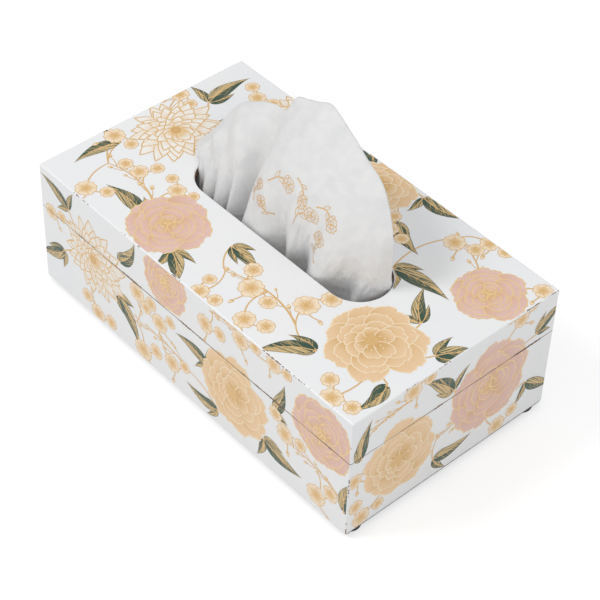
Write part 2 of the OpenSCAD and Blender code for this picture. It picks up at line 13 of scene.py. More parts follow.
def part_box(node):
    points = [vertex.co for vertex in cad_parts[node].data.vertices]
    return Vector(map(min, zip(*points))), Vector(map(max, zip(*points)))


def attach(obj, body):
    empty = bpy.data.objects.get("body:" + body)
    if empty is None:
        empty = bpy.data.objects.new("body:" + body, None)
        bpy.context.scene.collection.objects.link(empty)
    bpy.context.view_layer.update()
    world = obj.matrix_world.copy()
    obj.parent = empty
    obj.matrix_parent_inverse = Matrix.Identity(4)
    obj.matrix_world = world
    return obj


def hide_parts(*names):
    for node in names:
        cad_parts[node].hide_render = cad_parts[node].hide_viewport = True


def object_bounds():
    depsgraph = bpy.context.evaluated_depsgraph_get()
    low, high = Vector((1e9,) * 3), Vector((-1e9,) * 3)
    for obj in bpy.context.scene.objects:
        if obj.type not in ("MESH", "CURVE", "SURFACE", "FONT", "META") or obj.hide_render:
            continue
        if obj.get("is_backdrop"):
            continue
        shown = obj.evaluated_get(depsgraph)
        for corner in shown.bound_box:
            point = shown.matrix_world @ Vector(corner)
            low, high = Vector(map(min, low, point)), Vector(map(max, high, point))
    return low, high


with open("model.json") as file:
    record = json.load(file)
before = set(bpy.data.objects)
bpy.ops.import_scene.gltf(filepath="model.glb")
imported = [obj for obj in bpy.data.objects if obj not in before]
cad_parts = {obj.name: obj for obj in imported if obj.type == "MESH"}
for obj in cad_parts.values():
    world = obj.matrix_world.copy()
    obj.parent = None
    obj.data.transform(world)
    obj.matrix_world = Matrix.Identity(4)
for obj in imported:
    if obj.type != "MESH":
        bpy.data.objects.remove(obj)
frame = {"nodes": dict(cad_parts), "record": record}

cad_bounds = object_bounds()
nodes = frame["nodes"]
MM = 0.001

# Measures of the box, from the frame
panel_low, panel_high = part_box("lid_top_panel")
base_low, base_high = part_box("base_front_wall")
mid_x = (panel_low.x + panel_high.x) / 2
mid_y = (panel_low.y + panel_high.y) / 2
half_l = (panel_high.x - panel_low.x) / 2
half_w = (panel_high.y - panel_low.y) / 2
wood_z = base_low.z
base_rim_z = base_high.z
lid_rim_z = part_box("lid_front_wall")[0].z
seam_z = (base_rim_z + lid_rim_z) / 2
top_z = panel_high.z
stack_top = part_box("tissue_stack")[1].z

# Measures that the frame doesn't give, in millimetres
SLOT_L, SLOT_W, SLOT_BORDER = 145.0, 38.5, 1.4
EDGE_R = 0.8
HINGE_FROM_END = 45.0
HINGE_ROOM = (30.5, 13.2)
PRINT_GAP = 0.05
JOIN_WITHIN = 0.002

# Camera, fitted to the box's corners in the photograph
CAMERA_PLACE = Vector((0.588752, -0.548442, 0.808569))
CAMERA_AZIMUTH = 46.5976
CAMERA_ELEVATION = 44.1281
CAMERA_ROLL = 2.3067
CAMERA_LENS = 118.636


class Shader:
    """A material, with short calls that add its nodes."""

    def __init__(self, name):
        self.material = bpy.data.materials.new(name)
        self.material.use_nodes = True
        self.tree = self.material.node_tree
        self.tree.nodes.clear()

    def add(self, kind, inputs, **settings):
        """A new node. Its inputs are given by name or number, each a value or another node's socket."""
        node = self.tree.nodes.new("ShaderNode" + kind)
        for key, value in settings.items():
            setattr(node, key, value)
        for key, value in inputs.items():
            if isinstance(value, bpy.types.NodeSocket):
                self.tree.links.new(value, node.inputs[key])
            else:
                node.inputs[key].default_value = value
        return node

    def math(self, operation, *values):
        return self.add("Math", dict(enumerate(values)), operation=operation).outputs[0]

    def mix(self, factor, a, b):
        return self.add("Mix", {0: factor, 6: a, 7: b}, data_type="RGBA").outputs[2]

    def step(self, value, low, high):
        """0 below low, 1 above high and smooth in between."""
        inputs = {0: value, 1: low, 2: high, 3: 0.0, 4: 1.0}
        return self.add("MapRange", inputs, interpolation_type="SMOOTHSTEP").outputs[0]

    def place(self):
        """Where a point lies, in the piece's own coordinates."""
        return self.add("TexCoord", {}).outputs["Object"]

    def axes(self, vector):
        return self.add("SeparateXYZ", {0: vector}).outputs

    def noise(self, vector, scale, detail=2.0, roughness=0.5):
        inputs = {"Vector": vector, "Scale": scale, "Detail": detail, "Roughness": roughness}
        return self.add("TexNoise", inputs).outputs["Fac"]

    def stretch(self, vector, scale):
        return self.add("VectorMath", {0: vector, 1: scale}, operation="MULTIPLY").outputs[0]

    def bump(self, height, strength, distance):
        inputs = {"Height": height, "Strength": strength, "Distance": distance}
        return self.add("Bump", inputs).outputs[0]

    def surface(self, **inputs):
        """Ends the material in a principled surface. An underscore in a name stands for a space."""
        named = {key.replace("_", " "): value for key, value in inputs.items()}
        self.output(self.add("BsdfPrincipled", named).outputs[0])

    def output(self, socket):
        self.add("OutputMaterial", {0: socket})


def grey(value):
    return (value, value, value, 1.0)


WHITE = (0.86, 0.865, 0.875, 1.0)
BARE_BOARD = (0.235, 0.14, 0.075, 1.0)
DARK_BOARD = (0.16, 0.095, 0.05, 1.0)


def edge_distance(s, vector):
    """How far a point is from the nearest outer edge, from the seam and from the outside, in metres."""
    x, y, z = s.axes(vector)
    dx = s.math("SUBTRACT", half_l, s.math("ABSOLUTE", s.math("SUBTRACT", x, mid_x)))
    dy = s.math("SUBTRACT", half_w, s.math("ABSOLUTE", s.math("SUBTRACT", y, mid_y)))
    dz = s.math("SUBTRACT", top_z, z)
    near = s.math("MINIMUM", dx, dy)
    far = s.math("MAXIMUM", dx, dy)
    edge = s.math("MAXIMUM", near, s.math("MINIMUM", far, dz))
    seam = s.math("MAXIMUM", near, s.math("ABSOLUTE", s.math("SUBTRACT", z, seam_z)))
    outside = s.math("MINIMUM", near, dz)
    return edge, seam, outside


def chips_and_seam_shade(s, vector):
    """Where lacquer and print are chipped off: specks on upright edges, the top's rim and the seam.

    Also a thin dark line along the seam, which is painted shade in the gap between lid and base.
    """
    edge, seam, _ = edge_distance(s, vector)
    fine = s.noise(vector, 800.0, 3.0, 0.6)
    patches = s.noise(vector, 45.0, 1.0)
    near_edge = s.math("SUBTRACT", 1.0, s.step(edge, 0.0003, 0.0011))
    near_seam = s.math("SUBTRACT", 1.0, s.step(seam, 0.0004, 0.0014))
    reach = s.math("MAXIMUM", s.math("MULTIPLY", near_edge, 0.82), near_seam)
    amount = s.math("MULTIPLY", s.math("MULTIPLY", fine, s.step(patches, 0.35, 0.65)), reach)
    # A thin dark line of varying width along the seam: painted shade in the gap between lid and base, not
    # wear.
    seam_shade_line = s.math("SUBTRACT", s.math("MULTIPLY", patches, 0.0006), seam)
    return s.math("MAXIMUM", s.step(amount, 0.355, 0.42), s.step(seam_shade_line, -0.0001, 0.0001))


def board_material():
    s = Shader("lacquered_board")
    p = s.place()
    _, _, outside = edge_distance(s, p)
    # Bare board inside the box and at chipped specks, plus the painted shade line along the seam, all shown
    # in bare board colour.
    bare_and_seam_shade = s.math("MAXIMUM", s.step(outside, 0.0007, 0.0009), chips_and_seam_shade(s, p))
    tone = s.noise(p, 25.0, 2.0)
    white = s.mix(s.step(tone, 0.3, 0.7), WHITE, (0.875, 0.872, 0.868, 1.0))
    fibres = s.noise(s.stretch(p, (1.0, 1.0, 4.0)), 700.0, 4.0, 0.7)
    brown = s.mix(s.step(fibres, 0.3, 0.7), DARK_BOARD, BARE_BOARD)
    colour = s.mix(bare_and_seam_shade, white, brown)
    peel = s.noise(p, 420.0, 2.0)
    rough = s.math("MULTIPLY", s.math("MULTIPLY", fibres, bare_and_seam_shade), 2.0)
    height = s.math("ADD", s.math("MULTIPLY", peel, 0.25), rough)
    roughness = s.math("ADD", 0.30, s.math("MULTIPLY", bare_and_seam_shade, 0.5))
    s.surface(Base_Color=colour, Roughness=roughness, Normal=s.bump(height, 0.25, 0.0002), IOR=1.5)
    return s.material


def bare_board_material():
    s = Shader("bare_fibre_board")
    p = s.place()
    fibres = s.noise(s.stretch(p, (1.0, 3.0, 1.0)), 500.0, 4.0, 0.7)
    specks = s.noise(p, 1600.0, 1.0)
    colour = s.mix(s.step(fibres, 0.3, 0.7), DARK_BOARD, BARE_BOARD)
    colour = s.mix(s.step(specks, 0.62, 0.7), colour, (0.33, 0.22, 0.13, 1.0))
    s.surface(Base_Color=colour, Roughness=0.85, Normal=s.bump(fibres, 0.3, 0.0003))
    return s.material


def brass_material():
    s = Shader("hinge_brass")
    p = s.place()
    strokes = s.noise(s.stretch(p, (0.15, 1.0, 1.0)), 3000.0, 2.0)
    stains = s.noise(p, 350.0, 3.0)
    colour = s.mix(s.step(stains, 0.35, 0.75), (0.78, 0.53, 0.22, 1.0), (0.60, 0.38, 0.15, 1.0))
    roughness = s.math("ADD", 0.22, s.math("MULTIPLY", strokes, 0.2))
    normal = s.bump(strokes, 0.15, 0.00005)
    s.surface(Base_Color=colour, Metallic=1.0, Roughness=roughness, Normal=normal)
    return s.material


def rubber_material():
    s = Shader("foot_rubber")
    p = s.place()
    grain = s.noise(p, 1800.0, 2.0)
    dust = s.noise(p, 240.0, 3.0)
    colour = s.mix(s.step(dust, 0.5, 0.8), (0.012, 0.012, 0.013, 1.0), (0.05, 0.05, 0.05, 1.0))
    s.surface(Base_Color=colour, Roughness=0.62, Normal=s.bump(grain, 0.3, 0.0001))
    return s.material


def felt_material():
    s = Shader("black_felt")
    p = s.place()
    hairs = s.noise(s.stretch(p, (1.0, 1.0, 2.5)), 2600.0, 4.0, 0.75)
    clumps = s.noise(p, 420.0, 3.0)
    colour = s.mix(s.step(hairs, 0.3, 0.75), (0.018, 0.018, 0.02, 1.0), (0.075, 0.075, 0.08, 1.0))
    colour = s.mix(s.step(clumps, 0.55, 0.8), colour, (0.1, 0.1, 0.105, 1.0))
    height = s.math("ADD", hairs, s.math("MULTIPLY", clumps, 0.5))
    s.surface(Base_Color=colour, Roughness=1.0, Normal=s.bump(height, 0.7, 0.0004), Sheen_Weight=0.4)
    return s.material


def finish_nodes():
    """Gives each piece of the frame that stays in view its material."""
    made = {
        "white_board": board_material(),
        "brown_board": bare_board_material(),
        "hinge_brass": brass_material(),
        "foot_rubber": rubber_material(),
        "felt": felt_material(),
    }
    for part in frame["record"]["subparts"]:
        if part["material_slot"] in made:
            piece = nodes[part["node"]]
            for slot in piece.material_slots:
                slot.material = made[part["material_slot"]]


# The print: each motif is a pile of flat outlines, drawn in the millimetres of its face, the last on top


class Pile:
    """Flat outlines on one face of the box. The last one covers what lies under it."""

    def __init__(self):
        self.outlines = []

    def put(self, points, finish, base=(0.0, 0.0), turn=0.0, length=1.0, width=1.0, tone=0.5):
        """finish None wipes the print away. base, turn, length and width give a petal's coordinates."""
        if signed_area(points) < 0:
            points = points[::-1]
        self.outlines.append((points, finish, base, turn, length, width, tone))


def signed_area(points):
    return sum(x0 * y1 - x1 * y0 for (x0, y0), (x1, y1) in zip(points, points[1:] + points[:1])) / 2


def polar(centre, reach, turn):
    """The point that lies at a distance from centre, in the direction turn."""
    return centre[0] + reach * math.cos(turn), centre[1] + reach * math.sin(turn)


def moved(points, base, turn):
    c, s = math.cos(turn), math.sin(turn)
    return [(base[0] + x * c - y * s, base[1] + x * s + y * c) for x, y in points]


def petal_outline(length, width, form, shrink, phase):
    """Points round a petal that grows along x from the origin.

    form gives its peak, roundness, ruffle, notch, bend and number of points.
    """
    peak, roundness, ruffle, notch, bend, count = form
    points = []
    for i in range(count):
        t = (i + 0.5) / count
        s = math.sin(math.pi * t)
        half = width / 2 * math.sin(math.pi * s ** peak) ** roundness - shrink
        if half <= 0 and 0.02 < s < 0.97:
            continue
        y = math.copysign(max(half, 0.0), 0.5 - t)
        x = shrink + s * (length - 2 * shrink)
        waves = math.sin(phase + 10 * math.pi * t) + math.sin(2 * phase + 26 * math.pi * t)
        x *= 1 + ruffle * s ** 3 * waves
        x -= notch * length * s ** 6 * math.exp(-(y / (0.16 * width)) ** 2)
        c, n = math.cos(bend * s), math.sin(bend * s)
        points.append((x * c - y * n, x * n + y * c))
    return points


def wedge(start, end, w0, w1):
    """A straight stroke between two points, from one width to another."""
    dx, dy = end[0] - start[0], end[1] - start[1]
    far = math.hypot(dx, dy)
    nx, ny = -dy / far / 2, dx / far / 2
    return [
        (start[0] - nx * w0, start[1] - ny * w0), (end[0] - nx * w1, end[1] - ny * w1),
        (end[0] + nx * w1, end[1] + ny * w1), (start[0] + nx * w0, start[1] + ny * w0),
    ]


def stroke(points, w0, w1):
    """A line through points as an outline, from one width to another."""
    left, right = [], []
    last = len(points) - 1
    for i, (x, y) in enumerate(points):
        ax, ay = points[max(i - 1, 0)]
        bx, by = points[min(i + 1, last)]
        far = math.hypot(bx - ax, by - ay)
        half = (w0 + (w1 - w0) * i / last) / 2
        nx, ny = -(by - ay) / far * half, (bx - ax) / far * half
        left.append((x + nx, y + ny))
        right.append((x - nx, y - ny))
    return right + left[::-1]


def petal(pile, base, turn, length, width, form, fill, line, line_w, veins, rng, vein_finish=None):
    """A petal with an outline of width line_w in the finish line, and veins as fine strokes."""
    phase = rng.uniform(0, 2 * math.pi)
    tone = rng.random()
    form = form[:4] + (form[4] + rng.uniform(-0.12, 0.12), form[5])
    pile.put(moved(petal_outline(length, width, form, 0.0, phase), base, turn), line)
    inner = moved(petal_outline(length, width, form, line_w, phase), base, turn)
    pile.put(inner, fill, base, turn, length, width, tone)
    for k in range(veins):
        side = 2 * (k + 0.5) / veins - 1
        lean = side * 0.36 * width / length + form[4] * 0.5
        r0 = length * rng.uniform(0.30, 0.42)
        r1 = length * rng.uniform(0.62, 0.86) * (1 - 0.12 * abs(side))
        start, end = polar(base, r0, turn + lean), polar(base, r1, turn + lean)
        pile.put(wedge(start, end, 0.26, 0.1), vein_finish or line)


def ring(pile, centre, count, start, length, width, form, fill, line, line_w, veins, rng,
         sway=0.06, tilt=0.0, vein_finish=None):
    """A ring of petals round a flower's middle, the far ones first.

    A tilted flower is seen from one side, so its near petals are longer.
    """
    heart = polar(centre, -tilt * length, start)

    def aside_of(i):
        return abs(math.remainder(2 * math.pi * i / count, 2 * math.pi))

    for i in sorted(range(count), key=aside_of, reverse=True):
        aside = 2 * math.pi * i / count + rng.uniform(-sway, sway)
        grown = length * rng.uniform(0.9, 1.0) * (1 + tilt * math.cos(aside))
        broad = width * rng.uniform(0.88, 1.1) * (1 + 0.5 * tilt * math.cos(aside))
        petal(pile, heart, start + aside, grown, broad, form, fill, line, line_w, veins, rng,
              vein_finish)


def disc(centre, r, count=14):
    return [polar(centre, r, 2 * math.pi * i / count) for i in range(count)]


def stamens(pile, centre, r, count, line, dot, rng):
    for i in range(count):
        turn = 2 * math.pi * i / count + rng.uniform(-0.15, 0.15)
        tip = polar(centre, r * rng.uniform(0.6, 1.0), turn)
        pile.put(wedge(centre, tip, 0.3, 0.2), line)
        pile.put(disc(tip, 0.42, 8), dot)


# Forms of petals: peak, roundness, ruffle, notch, bend and number of points
ROUND = (1.5, 0.5, 0.022, 0.05, 0.0, 36)
BROAD = (1.35, 0.48, 0.026, 0.03, 0.0, 36)
POINTED = (0.95, 0.85, 0.0, 0.0, 0.0, 18)
HEART = (1.7, 0.5, 0.0, 0.14, 0.0, 20)
LEAF = (0.66, 1.25, 0.0, 0.0, 0.22, 28)
BUD = (0.9, 0.7, 0.0, 0.0, 0.0, 12)
CALYX = (0.8, 0.6, 0.0, 0.0, 0.0, 10)


def camellia(pile, centre, r, turn, rng):
    """A full flower in gold, seen a little from one side, of round petals with pale rims."""
    for count, share in [(8, 1.0), (7, 0.80), (7, 0.61), (6, 0.44)]:
        ring(pile, centre, count, turn + rng.uniform(-0.2, 0.2), r * share, r * share * 0.78, ROUND,
             "gold_fill", "gold_pale", 0.5, 6, rng, 0.16, 0.2, "gold_line")
    heart = polar(centre, -0.12 * r, turn)
    pile.put(disc(heart, r * 0.13), "gold_line")
    stamens(pile, heart, r * 0.3, 17, "gold_line", "gold_pale", rng)


def dahlia(pile, centre, r, turn, rng):
    """An open flower in line work, with rings of pointed petals."""
    for count, share in [(15, 1.0), (15, 0.84), (13, 0.67), (12, 0.50), (9, 0.34)]:
        width = r * 0.36 * (0.55 + 0.45 * share)
        ring(pile, centre, count, turn + rng.uniform(-0.2, 0.2), r * share, width, POINTED,
             "gold_wash", "gold_line", 0.55, 3, rng, 0.08, 0.16)
    heart = polar(centre, -0.08 * r, turn)
    pile.put(disc(heart, r * 0.1), "gold_fill")
    stamens(pile, heart, r * 0.14, 9, "gold_line", "gold_line", rng)


def rose(pile, centre, r, turn, rng):
    """A dusty rose, with broad petals that close into a whorl."""
    for count, share in [(6, 1.0), (6, 0.83), (5, 0.66), (4, 0.49), (3, 0.33)]:
        ring(pile, centre, count, turn + rng.uniform(-0.3, 0.3), r * share, r * share * 1.02, BROAD,
             "rose_fill", "rose_line", 0.5, 7, rng, 0.16, 0.17)
    heart = polar(centre, -0.09 * r, turn)
    spiral = [polar(heart, r * 0.2 * (1 - i / 22), turn + 0.55 * i) for i in range(20)]
    pile.put(stroke(spiral, 0.5, 0.3), "rose_line")


def blossom(pile, centre, r, turn, rng):
    """A small flower with five notched petals."""
    ring(pile, centre, 5, turn, r, r * 1.02, HEART, "gold_peach", "gold_line", 0.34, 2, rng, 0.05)
    pile.put(disc(centre, r * 0.2, 10), "gold_line")
    stamens(pile, centre, r * 0.46, 8, "gold_line", "gold_line", rng)


def leaf(pile, middle, length, width, turn, rng):
    """A lance-shaped leaf, half green and half gold with green strokes. Returns its stalk's start."""
    base = polar(middle, -length / 2, turn)
    bend = rng.choice((-1, 1)) * rng.uniform(0.2, 0.5)
    form = LEAF[:4] + (bend, LEAF[5])
    whole = petal_outline(length, width, form, 0.0, 0.0)
    inner = petal_outline(length, width, form, 0.24, 0.0)
    rib = [polar((0, 0), length * s, bend * s) for s in (0.02, 0.2, 0.4, 0.6, 0.8, 0.97)]
    fold = rib[1:-1]
    pile.put(moved(whole, base, turn), "green_line")
    pile.put(moved(inner, base, turn), "green_dark", base, turn, length, width, rng.random())
    side = [p for i, p in enumerate(inner) if i < len(inner) / 2] + fold[::-1]
    pile.put(moved(side, base, turn), "green_mid", base, turn, length, width, rng.random())
    pile.put(moved(stroke(rib, 0.7, 0.2), base, turn), "gold_line")
    for k in range(1, 6):
        s = 0.1 + 0.13 * k
        for hand in (-1, 1):
            start = polar((0, 0), length * s, bend * s)
            reach = width * 0.5 * math.sin(math.pi * (s + 0.1) ** LEAF[0]) ** LEAF[1]
            end = polar(start, reach, bend * s + hand * 0.6)
            pile.put(moved(wedge(start, end, 0.3, 0.1), base, turn), "gold_line")
    return base


def leaf_group(pile, middle, length, width, turn, rng):
    """A leaf with one or two small ones beside it, all from one stalk."""
    base = polar(middle, -length / 2, turn)
    first = rng.choice((-1, 1))
    for side in (first, -first)[:rng.choice((1, 2, 2))]:
        aside = turn + side * rng.uniform(0.6, 0.95)
        small = length * rng.uniform(0.42, 0.62)
        at = polar(base, small / 2, aside)
        leaf(pile, at, small, width * rng.uniform(0.5, 0.68), aside, rng)
    return leaf(pile, middle, length, width, turn, rng)


def blossom_group(pile, stalks, centre, r, turn, rng):
    """A blossom with one or two smaller ones and a bud beside it."""
    for k in range(rng.choice((1, 2))):
        aside = turn + 2.2 * k + rng.uniform(-0.3, 0.3)
        at = polar(centre, 1.75 * r, aside)
        stalk(stalks, centre, at, rng)
        blossom(pile, at, r * rng.uniform(0.66, 0.85), aside, rng)
    away = turn - 1.5 + rng.uniform(-0.3, 0.3)
    tip = polar(centre, 1.6 * r, away)
    stalk(stalks, centre, tip, rng)
    bud(pile, tip, away, rng.uniform(3.0, 4.4), rng)
    blossom(pile, centre, r, turn, rng)


def bud(pile, base, turn, size, rng):
    petal(pile, base, turn, size, size * 0.62, BUD, "gold_peach", "gold_line", 0.26, 0, rng)
    calyx = petal_outline(size * 0.42, size * 0.5, CALYX, 0.0, 0.0)
    pile.put(moved(calyx, base, turn), "gold_line")


def twig(pile, centre, r, first, last, rng):
    """A bent twig with side shoots that end in buds."""
    steps = 16
    angles = [first + (last - first) * i / steps for i in range(steps + 1)]
    line = [polar(centre, r, a) for a in angles]
    pile.put(stroke(line, 1.35, 0.6), "gold_line")
    hand = 1
    for i in range(2, steps, 2):
        hand = -hand
        lean = angles[i] + math.pi / 2 * (1 if last > first else -1) + hand * rng.uniform(0.5, 0.9)
        far = rng.uniform(4.5, 8.5)
        shoot = [polar(line[i], far * u, lean - hand * 0.35 * u) for u in (0.0, 0.35, 0.7, 1.0)]
        pile.put(stroke(shoot, 0.6, 0.4), "gold_line")
        bud(pile, shoot[-1], lean - hand * 0.35, rng.uniform(2.6, 4.4), rng)


def stalk(pile, start, end, rng):
    """A thin curved stalk between two points."""
    dx, dy = end[0] - start[0], end[1] - start[1]
    sag = rng.choice((-1, 1)) * rng.uniform(0.08, 0.2)
    line = [
        (start[0] + dx * u - dy * sag * 4 * u * (1 - u), start[1] + dy * u + dx * sag * 4 * u * (1 - u))
        for u in [i / 10 for i in range(11)]
    ]
    pile.put(stroke(line, 0.95, 0.7), "gold_line")


# Motifs of each face, the same as in the frame. Places are shares of half the face's length and height,
# sizes are in millimetres and turns in degrees: a bloom's kind, place, radius and turn, a leaf's place,
# length, width and turn, a blossom's place, radius and turn, and the middle, radius and ends of a twig's arc
PATTERNS = {
    "top": {
        "blooms": [
            ("camellia", 0.74, -0.36, 29, 10), ("dahlia", -0.78, 0.04, 30, 0),
            ("rose", -0.33, -0.68, 25, 20), ("camellia", 0.06, 0.8, 24, 30), ("rose", 0.84, 0.58, 22, 0),
            ("dahlia", -0.5, 0.92, 23, 8),
        ],
        "leaves": [
            (0.5, -0.82, 34, 10, 205), (0.98, 0.06, 32, 10, 70), (0.6, 0.34, 38, 11, 22),
            (0.68, 0.1, 28, 8, 150), (-0.58, -0.7, 32, 10, 165), (-0.1, -0.9, 30, 9, -18),
            (-0.94, -0.56, 32, 9, 245),
            (-0.66, 0.46, 30, 9, 60), (-0.9, 0.66, 34, 10, 110), (0.34, 0.9, 30, 9, -15),
            (-0.16, 0.96, 26, 8, 160), (0.04, -0.46, 27, 8, 8), (0.36, 0.5, 30, 9, -30),
            (0.98, -0.72, 26, 8, -60),
        ],
        "blossoms": [
            (-0.94, -0.36, 7, 0), (-0.74, -0.9, 7, 20), (-0.68, -0.48, 6, 50), (0.18, -0.66, 8, 10),
            (0.3, -0.9, 7, 30), (0.4, -0.48, 8, 60), (0.06, -0.96, 6, 0), (0.84, -0.94, 7, 15),
            (0.52, 0.78, 7, 25), (0.28, 0.52, 6, 0), (-0.34, 0.58, 7, 5), (-0.74, 0.78, 6, 35),
            (0.62, 0.96, 6, 10), (-0.98, 0.34, 6, 0), (-0.48, -0.4, 6, 22), (0.96, 0.9, 6, 0),
        ],
        "twigs": [
            (-0.66, -1.24, 52, 62, 112), (0.26, -1.42, 62, 66, 118), (0.46, 0.06, 58, 30, 84),
            (-0.5, 0.1, 46, 66, 112),
        ],
    },
    "long": {
        "blooms": [
            ("dahlia", -0.62, 0.06, 29, 4), ("camellia", 0.32, -0.18, 29, 24),
            ("rose", 0.84, 0.42, 24, 50), ("rose", -0.13, 0.74, 20, 15),
        ],
        "leaves": [
            (-0.36, -0.44, 34, 10, -35), (-0.92, -0.5, 30, 9, 230), (0.05, 0.06, 30, 9, 150),
            (0.6, -0.72, 32, 10, -28), (0.6, 0.36, 28, 9, 60), (-0.36, 0.6, 28, 9, 30),
            (0.96, -0.3, 30, 9, 100), (0.1, -0.86, 28, 8, 195), (-0.88, 0.8, 28, 8, 140),
        ],
        "blossoms": [
            (-0.33, 0.14, 7, 0), (-0.3, -0.84, 8, 30), (-0.1, -0.62, 7, 12), (-0.18, -0.08, 7, 40),
            (0.12, 0.62, 7, 5), (0.34, 0.84, 7, 20), (0.62, -0.14, 7, 10), (0.82, -0.74, 8, 50),
            (-0.93, 0.3, 6, 25), (-0.62, -0.9, 7, 0), (0.54, 0.9, 6, 0),
        ],
        "twigs": [(-0.2, -1.9, 66, 66, 106), (0.24, -0.36, 56, 70, 100), (0.72, -1.5, 54, 58, 96)],
    },
    "short": {
        "blooms": [("rose", 0.38, 0.04, 32, 12), ("camellia", -0.5, -0.16, 29, 40)],
        "leaves": [
            (-0.14, 0.7, 32, 10, 125), (0.9, -0.62, 30, 9, -45), (0.02, -0.8, 30, 9, -20),
            (-0.93, 0.56, 28, 9, 100), (0.92, 0.66, 26, 8, 50),
        ],
        "blossoms": [
            (-0.44, 0.88, 7, 0), (0.62, 0.9, 6, 30), (0.5, -0.88, 7, 10), (-0.95, -0.08, 6, 20),
            (-0.86, -0.86, 7, 0),
        ],
        "twigs": [(0.06, -1.66, 60, 68, 104), (-0.52, -0.8, 66, 84, 108)],
    },
}
FLOWERS = {"camellia": camellia, "dahlia": dahlia, "rose": rose}


def face_pile(pattern, a, b, seed):
    """All motifs of one face of half-size a by b, in millimetres."""
    rng = random.Random(seed)
    pile = Pile()
    blooms = [(kind, (u * a, v * b), r, math.radians(turn)) for kind, u, v, r, turn in pattern["blooms"]]
    anchors = [centre for _, centre, _, _ in blooms]
    for u, v, r, first, last in pattern["twigs"]:
        first, last = math.radians(first), math.radians(last)
        centre = (u * a, v * b)
        twig(pile, centre, r, first, last, rng)
        anchors += [polar(centre, r, t) for t in (first, (first + last) / 2, last)]
    stalks, leaves = Pile(), Pile()
    for u, v, length, width, turn in pattern["leaves"]:
        base = leaf_group(leaves, (u * a, v * b), length, width, math.radians(turn), rng)
        stalk(stalks, base, min(anchors, key=lambda p: math.dist(p, base)), rng)
    for u, v, r, turn in pattern["blossoms"]:
        centre = (u * a, v * b)
        stalk(stalks, centre, min(anchors, key=lambda p: math.dist(p, centre)), rng)
        blossom_group(leaves, stalks, centre, r, math.radians(turn), rng)
    pile.outlines += stalks.outlines + leaves.outlines
    for kind, centre, r, turn in blooms:
        FLOWERS[kind](pile, centre, r, turn, rng)
    return pile


def rectangle(x0, y0, x1, y1):
    return [(x0, y0), (x1, y0), (x1, y1), (x0, y1)]


def stadium(length, width, count=24):
    """A rectangle with round ends."""
    reach = (length - width) / 2
    points = []
    for side in (1, -1):
        for i in range(count + 1):
            a = math.pi * (i / count - 0.5) + (0 if side > 0 else math.pi)
            points.append(polar((side * reach, 0), width / 2, a))
    return points


INKS = {
    "gold": ["gold_line", "gold_fill", "gold_peach", "gold_wash", "gold_pale"],
    "rose": ["rose_fill", "rose_line"],
    "green": ["green_dark", "green_mid", "green_line"],
}
INK_OF = {finish: ink for ink, finishes in INKS.items() for finish in finishes}


class Plate:
    """Printed triangles of one ink on one body, gathered from all faces."""

    def __init__(self):
        self.points = []
        self.corners = []
        self.finishes = []
        self.own = []
        self.tones = []


def cut(outlines):
    """Triangles that don't overlap, each with the outlines that cover it."""
    points, loops = [], []
    for outline in outlines:
        first = len(points)
        points += [Vector(p) for p in outline[0]]
        loops.append(list(range(first, len(points))))
    points, _, faces, _, _, owners = delaunay_2d_cdt(points, [], loops, 1, 1e-4, True)
    return points, faces, owners


def without_crossed(outlines, points, faces, owners):
    """The outlines less those that cross themselves, which cover what lies round them."""
    covered = [0.0] * len(outlines)
    for corners, owner in zip(faces, owners):
        area = abs(signed_area([points[i] for i in corners]))
        for k in owner:
            covered[k] += area
    return [o for o, area in zip(outlines, covered) if area < 1.5 * abs(signed_area(o[0])) + 0.5]


def flatten(pile, wiped, plates, to_space, body_at):
    """Cuts a pile of outlines into triangles that don't overlap, and sorts them into plates."""
    outlines = pile.outlines + [(points, None, (0, 0), 0.0, 1.0, 1.0, 0.5) for points in wiped]
    points, faces, owners = cut(outlines)
    sound = without_crossed(outlines, points, faces, owners)
    if len(sound) < len(outlines):
        outlines = sound
        points, faces, owners = cut(outlines)
    for corners, owner in zip(faces, owners):
        if not owner:
            continue
        _, finish, base, turn, length, width, tone = outlines[max(owner)]
        if finish is None:
            continue
        middle = sum((points[i] for i in corners), Vector((0, 0))) / 3
        plate = plates[(body_at(middle), INK_OF[finish])]
        c, s = math.cos(turn), math.sin(turn)
        first = len(plate.points)
        for i in corners:
            x, y = points[i][0] - base[0], points[i][1] - base[1]
            plate.points.append(to_space(points[i]))
            plate.own.append(((x * c + y * s) / length, (y * c - x * s) / width + 0.5))
        plate.corners.append((first, first + 1, first + 2))
        plate.finishes.append(finish)
        plate.tones.append(tone)


def print_faces():
    """Every printed face: pattern, half-size, seed, what is wiped and where it lies."""
    a, b = half_l / MM, half_w / MM
    half_h = (top_z - wood_z) / 2 / MM
    mid_z = (top_z + wood_z) / 2
    seam = (seam_z - mid_z) / MM
    gap = (lid_rim_z - base_rim_z) / 2 / MM
    hinge_x = a - HINGE_FROM_END
    hinges = [
        rectangle(side * hinge_x - HINGE_ROOM[0] / 2, seam - HINGE_ROOM[1] / 2,
                  side * hinge_x + HINGE_ROOM[0] / 2, seam + HINGE_ROOM[1] / 2)
        for side in (-1, 1)
    ]
    middle = Vector((mid_x, mid_y, mid_z))
    up = Vector((0, 0, 1))
    yield ("top", a, b, 11, [stadium(SLOT_L + SLOT_BORDER, SLOT_W + SLOT_BORDER)],
           Vector((mid_x, mid_y, top_z)), Vector((1, 0, 0)), Vector((0, 1, 0)), lambda p: "lid")
    for k, (right, reach, wide, name) in enumerate([
        (Vector((1, 0, 0)), half_w, a, "long"), (Vector((0, 1, 0)), half_l, b, "short"),
        (Vector((-1, 0, 0)), half_w, a, "long"), (Vector((0, -1, 0)), half_l, b, "short"),
    ]):
        out = right.cross(up)
        wiped = [rectangle(-wide - 1, seam - gap, wide + 1, seam + gap)] + (hinges if k == 2 else [])
        yield (name, wide, half_h, 20 + k, wiped, middle + out * reach, right, up,
               lambda p: "lid" if p[1] > seam else "base")


